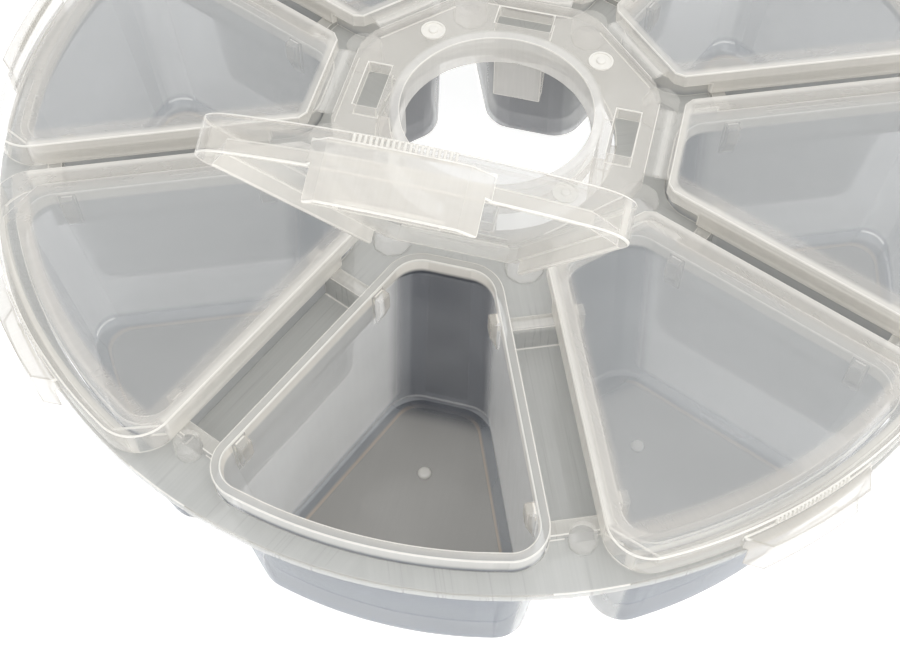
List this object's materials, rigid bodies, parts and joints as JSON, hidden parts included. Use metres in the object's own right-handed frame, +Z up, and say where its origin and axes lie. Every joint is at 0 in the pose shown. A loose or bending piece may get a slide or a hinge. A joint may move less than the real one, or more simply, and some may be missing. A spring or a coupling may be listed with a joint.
{
  "type": "round flip-lid caddy",
  "caption": "Round caddy in frosted clear plastic with wedge-shaped cups for small hobby parts, each under its own lid on a living hinge round a central hub.",
  "frame": {"origin": "on the hub's axis, at the level of the undersides of the cups", "axes": "+Z up along the hub's axis; the dividers between the cups lie along X, Y and the two diagonals, and the open lid is left of the -Y divider"},
  "size_m": [0.102, 0.102, 0.0567],
  "materials": {
    "tray_polypropylene": "satin",
    "lid_polypropylene": "satin",
    "hinge_film_polypropylene": "satin"
  },
  "bodies": {
    "base": {"base_deck": "tray_polypropylene", "cup_1": "tray_polypropylene", "cup_2": "tray_polypropylene", "cup_3": "tray_polypropylene", "cup_4": "tray_polypropylene", "cup_5": "tray_polypropylene", "cup_6": "tray_polypropylene", "cup_7": "tray_polypropylene", "cup_8": "tray_polypropylene", "hub_plate": "lid_polypropylene", "hinge_film_1": "hinge_film_polypropylene", "hinge_film_2": "hinge_film_polypropylene", "hinge_film_3": "hinge_film_polypropylene", "hinge_film_4": "hinge_film_polypropylene", "hinge_film_5": "hinge_film_polypropylene", "hinge_film_6": "hinge_film_polypropylene", "hinge_film_7": "hinge_film_polypropylene", "hinge_film_8": "hinge_film_polypropylene"},
    "lid_1": {"lid_1": "lid_polypropylene"},
    "lid_2": {"lid_2": "lid_polypropylene"},
    "lid_3": {"lid_3": "lid_polypropylene"},
    "lid_4": {"lid_4": "lid_polypropylene"},
    "lid_5": {"lid_5": "lid_polypropylene"},
    "lid_6": {"lid_6": "lid_polypropylene"},
    "lid_7": {"lid_7": "lid_polypropylene"},
    "lid_8": {"lid_8": "lid_polypropylene"}
  },
  "joints": [
    {"name": "lid_1_hinge", "type": "hinge", "parent": "base", "child": "lid_1", "pos_m": [-0.00661, -0.01596, 0.02513], "axis": [-0.9239, 0.3827, 0], "range_deg": [-64, 21], "deforming": ["hinge_film_1"]},
    {"name": "lid_2_hinge", "type": "hinge", "parent": "base", "child": "lid_2", "pos_m": [0.00661, -0.01596, 0.02513], "axis": [0.9239, 0.3827, 0], "range_deg": [-45, 0], "deforming": ["hinge_film_2"]},
    {"name": "lid_3_hinge", "type": "hinge", "parent": "base", "child": "lid_3", "pos_m": [0.01596, -0.00661, 0.02513], "axis": [-0.3827, -0.9239, 0], "range_deg": [0, 85], "deforming": ["hinge_film_3"]},
    {"name": "lid_4_hinge", "type": "hinge", "parent": "base", "child": "lid_4", "pos_m": [0.01596, 0.00661, 0.02513], "axis": [-0.3827, 0.9239, 0], "range_deg": [-85, 0], "deforming": ["hinge_film_4"]},
    {"name": "lid_5_hinge", "type": "hinge", "parent": "base", "child": "lid_5", "pos_m": [0.00661, 0.01596, 0.02513], "axis": [0.9239, -0.3827, 0], "range_deg": [0, 85], "deforming": ["hinge_film_5"]},
    {"name": "lid_6_hinge", "type": "hinge", "parent": "base", "child": "lid_6", "pos_m": [-0.00661, 0.01596, 0.02513], "axis": [-0.9239, -0.3827, 0], "range_deg": [-85, 0], "deforming": ["hinge_film_6"]},
    {"name": "lid_7_hinge", "type": "hinge", "parent": "base", "child": "lid_7", "pos_m": [-0.01596, 0.00661, 0.02513], "axis": [0.3827, 0.9239, 0], "range_deg": [0, 85], "deforming": ["hinge_film_7"]},
    {"name": "lid_8_hinge", "type": "hinge", "parent": "base", "child": "lid_8", "pos_m": [-0.01596, -0.00661, 0.02513], "axis": [0.3827, -0.9239, 0], "range_deg": [-45, 0], "deforming": ["hinge_film_8"]}
  ]
}
